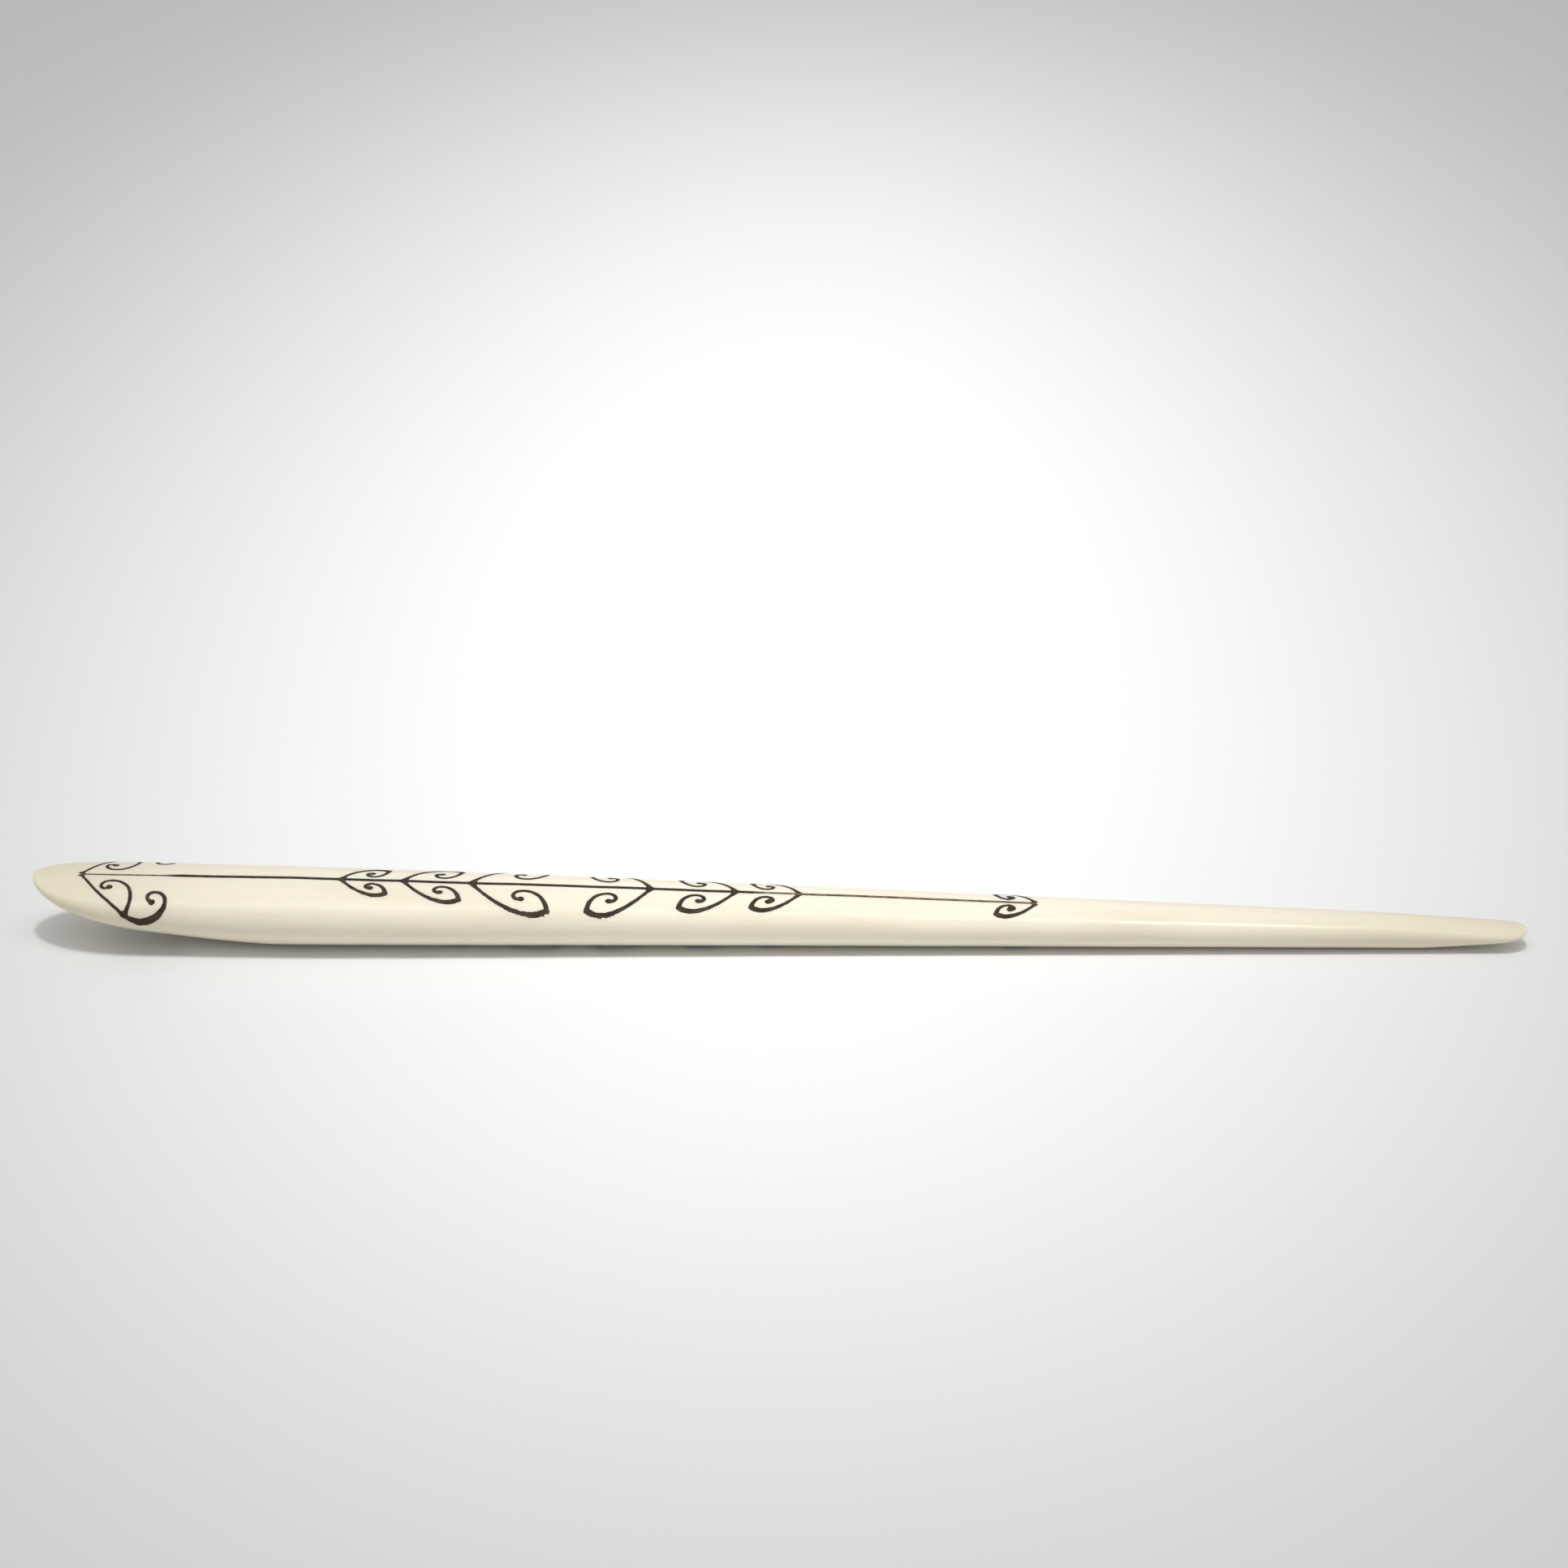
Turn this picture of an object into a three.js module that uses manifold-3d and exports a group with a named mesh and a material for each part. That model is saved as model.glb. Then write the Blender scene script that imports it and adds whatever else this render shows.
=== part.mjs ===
// Engraved bone folder, in millimetres.
//
// One slim stick of polished bone lies on its underside along X.  The broad, rounded head is at -X and
// the narrow tip at +X.  Scrolls are engraved into the upper and the lower face and filled with dark
// ink: a thin line runs along the middle of each face, and fronds stand on it in pairs, front and back.
// Z = 0 is the surface that the stick rests on, and Y = 0 is its middle plane.

import * as THREE from 'three';
import { mergeVertices } from 'three/addons/utils/BufferGeometryUtils.js';
import Module from 'manifold-3d';

const wasm = await Module();
wasm.setup();

// ---- driving dimensions ------------------------------------------------------------------------

const LENGTH = 165;

// Each profile is a list of [distance from the head's end, value], before the ends are rounded off.
const HALF_WIDTH = [[0, 5.7], [30, 6.0], [50, 5.5], [75, 4.7], [110, 3.7], [165, 2.15]];
const CREST_HEIGHT = [[0, 7.15], [32, 6.8], [75, 5.75], [125, 4.1], [150, 3.23], [165, 2.12]];

// The underside is level, and sweeps up at both ends.
const HEAD_SWEEP = { length: 27, lift: 3.8 };
const TIP_SWEEP = { length: 12.3, lift: 1.17 };
const SWEEP_POWER = 1.3;

// Both ends are rounded in plan and in side view towards a point at this height.
const HEAD_ROUND = { length: 14, height: 7.1, power: 2.7 };
const TIP_ROUND = { length: 9, height: 2.03, power: 8.4 };

// The section is a squarish oval with a narrow flat at its crest and its belly.  Near the ends the flat
// is limited to a share of the half width on each side.
const SECTION_POWER = 2.25;
const FLAT_WIDTH = 3;
const FLAT_LIMIT = 0.4;

// The grooves, and the ink in them: it lies just under the face, with a hair of room all round.
const GROOVE_DEPTH = 0.3;
const INK_RECESS = 0.05;
const INK_GAP = 0.04;

// Widths of the brush.  Along a frond it is pressed hardest at its far corner; BOLD_POWER says how
// suddenly it swells there.
const MIDLINE_WIDTH = 0.34;
const FINE_WIDTH = 0.4;
const BOLD_WIDTH = 0.8;
const BULB_WIDTH = 0.8;
const BOLD_POWER = 8;
const BOLD_AT = 0.57;

// The ornament is drawn on the skin: a point on it is [distance from the head's end, distance from the
// middle line measured round the skin].  Each frond is given by where it starts on the middle line, how
// long it is, how far round it reaches, and which way it opens (1 towards the tip, -1 towards the head).
const LEAVES = [
  { start: 34.0, length: 5.2, reach: 2.87, opens: 1 },
  { start: 40.9, length: 6.4, reach: 3.55, opens: 1 },
  { start: 48.4, length: 8.65, reach: 4.82, opens: 1 },
  { start: 68.4, length: 7.0, reach: 4.55, opens: -1 },
  { start: 77.8, length: 6.35, reach: 3.57, opens: -1 },
  { start: 84.8, length: 5.37, reach: 3.07, opens: -1 },
];
const ARROW = { start: 110.9, length: 4.55, reach: 2.52, opens: -1 };

// The shape that all fronds share, in shares of their length and reach: the back line swings out as
// part of a sine wave, lags a little, and ends at the corner, where the curl takes over.
const FROND = { lag: 0.03, swing: 0.656, corner: [1, 0.9] };
const FROND_CURL = { centre: [0.63, 0.465], lastRadius: 0.14, turns: 0.85, power: 6 };

// The head's scroll: a straight limb from the middle line to a foot, one curl ahead of the foot, and a
// second limb that leads on from the foot round the edge to the curl behind it.
const HEAD_APEX = 5.25;
const HEAD_LIMB = [[HEAD_APEX, 0], [7.7, 3.45], [10.8, 6.3], [12.4, 7.1]];
const HEAD_CURL_AHEAD = { centre: [8.4, 2.3], lastRadius: 0.45, turns: 1.1, power: 4.8 };
const HEAD_CURL_BEHIND = { centre: [13.9, 4.0], lastRadius: 0.7, turns: 1.04, power: 4.8 };

// The underside's ornament sits slightly nearer the tip than the upper side's, and reaches less far round.
const FACES = {
  top: { up: 1, shift: 0, reach: 1 },
  under: { up: -1, shift: 1, reach: 0.7 },
};

// ---- mesh fineness -----------------------------------------------------------------------------

const SIDES = 20;
const STATIONS = 30;
const END_CROWDING = 0.85;
const TURN_STEP = Math.PI / 180;
const RISE_POINTS = 20;
const CURL_POINTS = 40;
const STROKE_STEP = 0.8;
const BULB_STEPS = 4;
const MIDLINE_STEPS = 18;
const POINT_GAP = 1e-5;

// ---- materials ---------------------------------------------------------------------------------

const BONE = new THREE.MeshStandardMaterial({ color: 0xf3ecd6, roughness: 0.3, metalness: 0 });
const INK = new THREE.MeshStandardMaterial({ color: 0x2f2722, roughness: 0.6, metalness: 0 });

// ---- profiles ----------------------------------------------------------------------------------

// Smooth curve through a profile's points: cubic pieces with matching slopes.
function along(profile, at) {
  const last = profile.length - 1;
  const slope = (i) => {
    const [before, after] = [profile[Math.max(i - 1, 0)], profile[Math.min(i + 1, last)]];
    return (after[1] - before[1]) / (after[0] - before[0]);
  };
  let i = 0;
  while (i < last - 1 && at > profile[i + 1][0]) i += 1;
  const [[x0, y0], [x1, y1]] = [profile[i], profile[i + 1]];
  const t = (at - x0) / (x1 - x0);
  const blend = t * t * (3 - 2 * t);
  const bend = slope(i) * (1 - t) - slope(i + 1) * t;
  return y0 + (y1 - y0) * blend + (x1 - x0) * t * (1 - t) * bend;
}

// 0 at an end of the stick, growing to 1 where its rounding stops.
function rounding(fromEnd, { length, power }) {
  return Math.sqrt(1 - Math.max(1 - fromEnd / length, 0) ** power);
}

function sweep(fromEnd, { length, lift }) {
  return lift * Math.max(1 - fromEnd / length, 0) ** SWEEP_POWER;
}

// Half width, half thickness and middle height of the section at a distance from the head's end.
function sectionAt(distance) {
  const fromTip = LENGTH - distance;
  const end = distance < fromTip ? HEAD_ROUND : TIP_ROUND;
  const round = rounding(Math.min(distance, fromTip), end);
  const belly = sweep(distance, HEAD_SWEEP) + sweep(fromTip, TIP_SWEEP);
  const top = THREE.MathUtils.lerp(end.height, along(CREST_HEIGHT, distance), round);
  const bottom = THREE.MathUtils.lerp(end.height, belly, round);
  return {
    halfWidth: along(HALF_WIDTH, distance) * round,
    halfThickness: (top - bottom) / 2,
    middle: (top + bottom) / 2,
  };
}

// Point of a squarish oval of half size 1 at a turn from its crest, as [across, up].
function ovalPoint(turn) {
  const bend = (value) => Math.sign(value) * Math.abs(value) ** (2 / SECTION_POWER);
  return [bend(Math.sin(turn)), bend(Math.cos(turn))];
}

// Turn from the crest at which a distance round the skin is reached.
function turnAt({ halfWidth, halfThickness }, round) {
  let [y, z] = [0, halfThickness];
  let walked = 0;
  for (let turn = TURN_STEP; turn < Math.PI; turn += TURN_STEP) {
    const [across, up] = ovalPoint(turn);
    const step = Math.hypot(across * halfWidth - y, up * halfThickness - z);
    if (walked + step > round) return turn - TURN_STEP * (1 - (round - walked) / step);
    walked += step;
    [y, z] = [across * halfWidth, up * halfThickness];
  }
  return Math.PI;
}

// Place on the upper (up = 1) or lower (up = -1) face, a depth under the skin.
function onSkin(distance, round, { up, shift, reach }, depth) {
  const section = sectionAt(distance + shift);
  const [across, rise] = ovalPoint(turnAt(section, Math.abs(round) * reach));
  const y = Math.sign(round) * across * (section.halfWidth - depth);
  const z = section.middle + up * rise * (section.halfThickness - depth);
  return [distance + shift - LENGTH / 2, y, z];
}

// ---- solids ------------------------------------------------------------------------------------

function solidOf(geometry) {
  geometry.deleteAttribute('normal');
  geometry.deleteAttribute('uv');
  const merged = mergeVertices(geometry, POINT_GAP);
  return new wasm.Manifold(new wasm.Mesh({
    numProp: 3,
    vertProperties: new Float32Array(merged.attributes.position.array),
    triVerts: new Uint32Array(merged.index.array),
  }));
}

function meshOf(name, solid, material) {
  const { vertProperties, triVerts } = solid.getMesh();
  const geometry = new THREE.BufferGeometry();
  geometry.setAttribute('position', new THREE.BufferAttribute(vertProperties, 3));
  geometry.setIndex(new THREE.BufferAttribute(triVerts, 1));
  geometry.computeVertexNormals();
  const mesh = new THREE.Mesh(geometry, material);
  mesh.name = name;
  return mesh;
}

// The plain stick as one smooth loft, with its stations crowded towards both ends.  A narrow flat runs
// along its crest and its belly.
function stick() {
  const geometry = new THREE.SphereGeometry(1, SIDES, STATIONS);
  const position = geometry.attributes.position;
  const [, flatRise] = ovalPoint(Math.PI / SIDES);
  for (let row = 0; row <= STATIONS; row += 1) {
    const part = row / STATIONS;
    const distance = LENGTH * (part - (END_CROWDING * Math.sin(2 * Math.PI * part)) / (2 * Math.PI));
    const { halfWidth, halfThickness, middle } = sectionAt(distance);
    for (let side = 0; side <= SIDES; side += 1) {
      const [across, rise] = ovalPoint((2 * Math.PI * ((side % SIDES) + 0.5)) / SIDES);
      const isFlat = Math.abs(rise) > flatRise - POINT_GAP;
      const flatEdge = Math.sign(across) * Math.min(FLAT_WIDTH / 2, FLAT_LIMIT * halfWidth);
      const y = isFlat ? flatEdge : (across / flatRise) * halfWidth;
      const z = middle + (rise / flatRise) * halfThickness;
      position.setXYZ(row * (SIDES + 1) + side, distance - LENGTH / 2, y, z);
    }
  }
  return solidOf(geometry);
}

// ---- ornament ----------------------------------------------------------------------------------

// A curl from a first point round a centre: it tightens quickly at first, and then turns evenly.
function curl([firstX, firstY], { centre: [x, y], lastRadius, turns, power }) {
  const firstRadius = Math.hypot(firstX - x, firstY - y);
  const firstAngle = Math.atan2(firstY - y, firstX - x);
  const points = [];
  for (let i = 0; i <= CURL_POINTS; i += 1) {
    const part = i / CURL_POINTS;
    const radius = lastRadius + (firstRadius - lastRadius) * (1 - part) ** power;
    const angle = firstAngle - 2 * Math.PI * turns * part;
    points.push([x + radius * Math.cos(angle), y + radius * Math.sin(angle)]);
  }
  return points;
}

// A frond leaves the middle line, swings out to its reach, turns a corner and curls back in.
function frondLine({ start, length, reach, opens }) {
  const points = [];
  for (let i = 0; i < RISE_POINTS; i += 1) {
    const part = i / RISE_POINTS;
    const forward = part - FROND.lag * Math.sin(2 * Math.PI * part);
    points.push([length * forward, reach * Math.sin(FROND.swing * Math.PI * part)]);
  }
  const sized = ([x, y]) => [length * x, reach * y];
  const { centre, lastRadius } = FROND_CURL;
  const eye = { ...FROND_CURL, centre: sized(centre), lastRadius: lastRadius * reach };
  points.push(...curl(sized(FROND.corner), eye));
  return points.map(([x, y]) => [start + opens * x, y]);
}

const frondStrokes = (frond) => [{ line: frondLine(frond), boldAt: BOLD_AT }];

function headStrokes() {
  const foot = HEAD_LIMB.at(-2);
  return [
    { line: [...HEAD_LIMB.slice(0, -1), ...curl(HEAD_LIMB.at(-1), HEAD_CURL_BEHIND)], boldAt: BOLD_AT },
    { line: curl(foot, HEAD_CURL_AHEAD), boldAt: 0 },
  ];
}

// Brush width part of the way along a stroke: fine, bold where it is pressed, and a bulb at the end.
function brushWidth(part, boldAt, bulbFrom) {
  if (part > bulbFrom) return BULB_WIDTH * Math.sqrt(1 - ((2 * (part - bulbFrom)) / (1 - bulbFrom) - 1) ** 2);
  const away = part < boldAt ? part / boldAt : (1 - part) / (1 - boldAt);
  return THREE.MathUtils.lerp(FINE_WIDTH, BOLD_WIDTH, Math.sin((Math.PI / 2) * away) ** BOLD_POWER);
}

// Left and right edge points of a stroke along a line.  A trimmed stroke is narrower all round, and
// where it starts on the middle line it starts clear of it.
function strokeEdges({ line, boldAt }, trim) {
  const curve = new THREE.CatmullRomCurve3(line.map(([x, y]) => new THREE.Vector3(x, y, 0)));
  const bulbFrom = 1 - BULB_WIDTH / curve.getLength();
  const steps = Math.round((bulbFrom * curve.getLength()) / STROKE_STEP);
  const parts = [];
  for (let i = 0; i < steps; i += 1) parts.push((bulbFrom * i) / steps);
  for (let i = 0; i < BULB_STEPS; i += 1) parts.push(bulbFrom + ((1 - bulbFrom) * (i + 0.5)) / BULB_STEPS);
  return parts.map((part, i) => {
    const at = curve.getPointAt(part);
    const heading = curve.getTangentAt(part);
    if (i === 0 && line[0][1] === 0) {
      heading.set(0, Math.sign(line[1][1]), 0);
      at.addScaledVector(heading, trim > 0 ? MIDLINE_WIDTH / 2 + trim : 0);
    }
    const half = brushWidth(part, boldAt, bulbFrom) / 2 - trim;
    const across = new THREE.Vector3(-heading.y, heading.x, 0).multiplyScalar(half);
    return { left: at.clone().add(across), right: at.clone().sub(across) };
  });
}

function midlineEdges(trim) {
  const half = MIDLINE_WIDTH / 2 - trim;
  const edges = [];
  for (let i = 0; i <= MIDLINE_STEPS; i += 1) {
    const x = THREE.MathUtils.lerp(HEAD_APEX + trim, ARROW.start - trim, i / MIDLINE_STEPS);
    edges.push({ left: new THREE.Vector3(x, half, 0), right: new THREE.Vector3(x, -half, 0) });
  }
  return edges;
}

// ---- engraving ---------------------------------------------------------------------------------

// Depths below the skin of what lies in a stroke: the cutter starts well above it, and the ink fills
// the groove that the cutter leaves.
const CUTTER_RISE = 0.6;
const CUTTER = { outer: -CUTTER_RISE, inner: GROOVE_DEPTH, trim: 0 };
const INK_FILL = { outer: INK_RECESS, inner: GROOVE_DEPTH - INK_GAP, trim: INK_GAP };

// A bar bent along a stroke's edges, between two depths.
function bentBar(edges, face, { outer, inner }) {
  const steps = edges.length - 1;
  const geometry = new THREE.BoxGeometry(steps, 1, 1, steps, 1, 1);
  const position = geometry.attributes.position;
  for (let i = 0; i < position.count; i += 1) {
    const { left, right } = edges[Math.round(position.getX(i) + steps / 2)];
    const { x, y } = position.getY(i) > 0 ? left : right;
    const isOuter = position.getZ(i) * face.up > 0;
    position.setXYZ(i, ...onSkin(x, y, face, isOuter ? outer : inner));
  }
  return solidOf(geometry);
}

// One engraved figure: what is cut out of the bone, and the ink that fills it.
function figure(name, face, edgesFor) {
  const make = (fill) => edgesFor(fill.trim)
    .map((edges) => bentBar(edges, FACES[face], fill))
    .reduce((sum, solid) => sum.add(solid));
  return { name: `${face}_${name}`, cut: make(CUTTER), ink: make(INK_FILL) };
}

function mirrored({ line, boldAt }, hand) {
  return { line: line.map(([x, y]) => [x, hand * y]), boldAt };
}

function figuresOn(face) {
  const figures = [figure('midline', face, (trim) => [midlineEdges(trim)])];
  for (const [side, hand] of [['front', -1], ['back', 1]]) {
    const add = (name, strokes) => {
      const edgesFor = (trim) => strokes.map((stroke) => strokeEdges(mirrored(stroke, hand), trim));
      figures.push(figure(`${name}_${side}`, face, edgesFor));
    };
    add('head_scroll', headStrokes());
    LEAVES.forEach((leaf, i) => add(`leaf_${i + 1}`, frondStrokes(leaf)));
    add('arrow', frondStrokes(ARROW));
  }
  return figures;
}

// ---- assembly ----------------------------------------------------------------------------------

function boneFolder() {
  const folder = new THREE.Group();
  const ornament = new THREE.Group();
  let body = stick();
  for (const { name, cut, ink } of [...figuresOn('top'), ...figuresOn('under')]) {
    body = body.subtract(cut);
    ornament.add(meshOf(name, ink, INK));
  }
  folder.add(meshOf('bone_body', body, BONE), ornament);
  return folder;
}

export default boneFolder();
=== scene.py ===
"""Engraved bone folder: fine model, materials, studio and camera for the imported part.

Shapes are worked out in millimetres in the part's own frame (head at -X, tip at +X, Z up, resting on
Z = 0) and turned into metres when a mesh is made.  The ornament is drawn on the skin of the stick, in
[distance from the head's end, distance round the skin from the middle line].
"""

import math

import bpy
import numpy as np
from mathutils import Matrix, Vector


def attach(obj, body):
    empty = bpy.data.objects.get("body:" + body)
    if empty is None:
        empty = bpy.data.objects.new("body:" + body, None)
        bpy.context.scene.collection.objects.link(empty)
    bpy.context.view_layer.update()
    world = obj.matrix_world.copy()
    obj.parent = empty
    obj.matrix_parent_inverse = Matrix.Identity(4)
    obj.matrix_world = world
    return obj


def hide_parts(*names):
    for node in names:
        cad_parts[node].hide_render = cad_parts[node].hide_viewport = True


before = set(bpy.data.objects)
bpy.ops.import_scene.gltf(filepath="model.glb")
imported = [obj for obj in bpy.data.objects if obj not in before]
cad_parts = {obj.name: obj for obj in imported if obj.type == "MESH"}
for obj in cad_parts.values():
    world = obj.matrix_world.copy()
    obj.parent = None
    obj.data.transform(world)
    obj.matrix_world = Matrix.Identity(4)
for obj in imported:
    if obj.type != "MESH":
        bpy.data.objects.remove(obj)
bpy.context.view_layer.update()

MM = 0.001

# ---- the stick, as in the CAD but with a plain oval section, without the flats -----------------

LENGTH = 165.0
HALF_WIDTH = [(0, 5.7), (30, 6.0), (50, 5.5), (75, 4.7), (110, 3.7), (165, 2.15)]
CREST_HEIGHT = [(0, 7.15), (32, 6.8), (75, 5.75), (125, 4.1), (150, 3.23), (165, 2.12)]
HEAD_SWEEP = {"length": 27.0, "lift": 3.8}
TIP_SWEEP = {"length": 12.3, "lift": 1.17}
SWEEP_POWER = 1.3
HEAD_ROUND = {"length": 14.0, "height": 7.1, "power": 2.7}
TIP_ROUND = {"length": 9.0, "height": 2.03, "power": 8.4}
SECTION_POWER = 2.25

# The hand-worked skin is uneven by this much: (share of the half size, wave length in mm, phase).
WIDTH_WAVES = [(0.0030, 23.0, 0.7), (0.0022, 11.0, 2.1), (0.0012, 5.3, 4.4)]
THICKNESS_WAVES = [(0.0026, 31.0, 1.9), (0.0020, 13.0, 0.4), (0.0012, 6.1, 3.2)]

# ---- the ornament, as in the CAD but with tighter frond curls ----------------------------------

LEAVES = [
    {"start": 34.0, "length": 5.2, "reach": 2.87, "opens": 1},
    {"start": 40.9, "length": 6.4, "reach": 3.55, "opens": 1},
    {"start": 48.4, "length": 8.65, "reach": 4.82, "opens": 1},
    {"start": 68.4, "length": 7.0, "reach": 4.55, "opens": -1},
    {"start": 77.8, "length": 6.35, "reach": 3.57, "opens": -1},
    {"start": 84.8, "length": 5.37, "reach": 3.07, "opens": -1},
]
ARROW = {"start": 110.9, "length": 4.55, "reach": 2.52, "opens": -1}
FROND_LAG = 0.03
FROND_SWING = 0.656
FROND_CORNER = (1.0, 0.9)
FROND_CURL = {"centre": (0.63, 0.465), "last_radius": 0.12, "turns": 0.92, "power": 6}

HEAD_APEX = 5.25
HEAD_LIMB = [(HEAD_APEX, 0.0), (7.7, 3.45), (10.8, 6.3), (12.4, 7.1)]
HEAD_CURL_AHEAD = {"centre": (8.4, 2.3), "last_radius": 0.45, "turns": 1.1, "power": 4.8}
HEAD_CURL_BEHIND = {"centre": (13.9, 4.0), "last_radius": 0.7, "turns": 1.04, "power": 4.8}
HEAD_SCROLL_END = 16.8
HEAD_APEX_BLOT = {"centre": (HEAD_APEX + 0.1, 0.12), "radius": 0.38}

# Each face: which way it looks, and how its ornament is moved along and drawn in towards the middle.
FACES = {
    "top": {"up": 1, "shift": 0.0, "reach": 1.0},
    "under": {"up": -1, "shift": 1.0, "reach": 0.7},
}
SIDES = {"front": -1, "back": 1}

# ---- brush widths and depths -------------------------------------------------------------------

# A frond's brush: (share of the way along its line, half width).
FROND_BRUSH = [
    (0.0, 0.34),
    (0.1, 0.22),
    (0.3, 0.25),
    (0.42, 0.30),
    (0.52, 0.35),
    (0.57, 0.38),
    (0.62, 0.28),
    (0.7, 0.24),
    (0.9, 0.23),
    (1.0, 0.26),
]
# The brush of the head's two strokes: (distance along the line in mm, half width).
LIMB_BRUSH = [
    (0.0, 0.17),
    (7.4, 0.18),
    (8.8, 0.24),
    (10.0, 0.42),
    (11.2, 0.46),
    (12.6, 0.38),
    (14.2, 0.23),
    (30.0, 0.20),
]
HOOK_BRUSH = [(0.0, 0.30), (0.8, 0.22), (3.0, 0.20), (30.0, 0.21)]
BULB_RADIUS = 0.38
# The smallest frond's brush is this share of the largest one's, and more as the frond is larger.
BRUSH_SHARE = 0.85
LARGEST_REACH = max(leaf["reach"] for leaf in LEAVES)
GROOVE_DEPTH = 0.3
CUTTER_RISE = 0.25
INK_FLOOR = 0.285
INK_RIM_DEPTH = 0.015
INK_DIP = 0.035
INK_GAP = 0.012
# The ink dips below its rim over this distance from the edge.
INK_DIP_WIDTH = 0.2

# ---- fineness ----------------------------------------------------------------------------------

STATIONS = 340
STATION_CROWDING = 0.97
SIDES_ROUND = 112
GRID_STEP = 0.1
GRID_REACH = 8.2
TABLE_DISTANCE_STEP = 0.125
TABLE_ROUND_STEP = 0.05
TABLE_ROUNDS = 230
OVAL_POINTS = 721
CURL_POINTS = 60
FROND_POINTS = 40
LIMB_STEPS = 14
NORMAL_STEP = 0.01
ON_SKIN = 0.05
# Stations closer to an end than this have no section.
END_GAP = 1e-4
# Within this distance of an end the skin faces straight along the stick.
END_CAP = 0.02
TINY_LENGTH = 1e-9
TINY_AREA = 1e-12
# Outline corners are moved by at most this many grid steps, with the slope taken as no less than this.
MOST_STEPS_MOVED = 1.5
LEAST_SLOPE_SQUARED = 0.25
INK_SHARP_ANGLE = math.radians(40)

RANDOM_SEED = 7


# ---- skin --------------------------------------------------------------------------------------


def along(profile, at):
    """Smooth curve through a profile's points, as in the CAD."""
    x, y = np.array(profile, float).T
    slope = np.gradient(y, x)
    slope[1:-1] = (y[2:] - y[:-2]) / (x[2:] - x[:-2])
    i = np.clip(np.searchsorted(x, at) - 1, 0, len(x) - 2)
    step = x[i + 1] - x[i]
    t = (at - x[i]) / step
    blend = t * t * (3 - 2 * t)
    bend = slope[i] * (1 - t) - slope[i + 1] * t
    return y[i] + (y[i + 1] - y[i]) * blend + step * t * (1 - t) * bend


def waves(distance, table):
    return 1 + sum(share * np.sin(2 * np.pi * distance / length + phase) for share, length, phase in table)


def sweep(from_end, shape):
    return shape["lift"] * np.maximum(1 - from_end / shape["length"], 0) ** SWEEP_POWER


def section(distance):
    """Half width, half thickness and middle height of the section at a distance from the head's end."""
    distance = np.clip(distance, END_GAP, LENGTH - END_GAP)
    from_tip = LENGTH - distance
    at_head = distance < from_tip
    end_length, end_height, power = (
        np.where(at_head, HEAD_ROUND[key], TIP_ROUND[key]) for key in ("length", "height", "power")
    )
    from_end = np.minimum(distance, from_tip)
    rounding = np.sqrt(1 - np.maximum(1 - from_end / end_length, 0) ** power)
    belly = sweep(distance, HEAD_SWEEP) + sweep(from_tip, TIP_SWEEP)
    top = end_height + (along(CREST_HEIGHT, distance) - end_height) * rounding
    bottom = end_height + (belly - end_height) * rounding
    half_thickness = (top - bottom) / 2 * waves(distance, THICKNESS_WAVES)
    half_width = along(HALF_WIDTH, distance) * rounding * waves(distance, WIDTH_WAVES)
    return half_width, half_thickness, bottom + half_thickness


def oval(turn):
    """Point of a squarish oval of half size 1 at a turn from its crest, as (across, up)."""
    return tuple(np.sign(v) * np.abs(v) ** (2 / SECTION_POWER) for v in (np.sin(turn), np.cos(turn)))


def skin_table():
    """How far across and up the skin is, for steps along the stick and steps round it from the crest."""
    rounds = np.arange(TABLE_ROUNDS) * TABLE_ROUND_STEP
    across, up = oval(np.linspace(0, np.pi, OVAL_POINTS))
    table = []
    for distance in np.arange(0, LENGTH + TABLE_DISTANCE_STEP, TABLE_DISTANCE_STEP):
        half_width, half_thickness, _ = section(distance)
        y, z = across * half_width, up * half_thickness
        walked = np.concatenate([[0], np.cumsum(np.hypot(np.diff(y), np.diff(z)))])
        table.append(np.stack([np.interp(rounds, walked, y), np.interp(rounds, walked, z)], axis=1))
    return np.array(table)


SKIN = skin_table()


def skin_point(distance, rounds, up):
    """Points of the skin, N x 3, on the upper (up = 1) or lower (up = -1) face."""
    row, row_part = np.divmod(distance / TABLE_DISTANCE_STEP, 1)
    column, column_part = np.divmod(np.abs(rounds) / TABLE_ROUND_STEP, 1)
    row, column = row.astype(int), column.astype(int)
    row_part, column_part = row_part[:, None], column_part[:, None]
    near = SKIN[row, column] * (1 - column_part) + SKIN[row, column + 1] * column_part
    far = SKIN[row + 1, column] * (1 - column_part) + SKIN[row + 1, column + 1] * column_part
    y, z = (near * (1 - row_part) + far * row_part).T
    middle = section(distance)[2]
    return np.stack([distance - LENGTH / 2, np.sign(rounds) * y, middle + up * z], axis=1)


def fullness(points):
    """1 on the skin, less inside it and more outside it."""
    half_width, half_thickness, middle = section(points[:, 0] + LENGTH / 2)
    across, up = np.abs(points[:, 1]) / half_width, np.abs(points[:, 2] - middle) / half_thickness
    return across**SECTION_POWER + up**SECTION_POWER


def skin_slope(points):
    """Gradient of the fullness at points, N x 3."""
    slope = []
    for axis in np.eye(3) * NORMAL_STEP:
        slope.append((fullness(points + axis) - fullness(points - axis)) / (2 * NORMAL_STEP))
    return np.stack(slope, axis=1)


def unit(vectors):
    return vectors / np.maximum(np.linalg.norm(vectors, axis=1, keepdims=True), TINY_LENGTH)


def on_skin(distance, rounds, face, depth):
    """Places on a face, a depth under the skin."""
    points = skin_point(distance + face["shift"], rounds * face["reach"], face["up"])
    return points - unit(skin_slope(points)) * np.broadcast_to(depth, len(points))[:, None]


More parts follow.
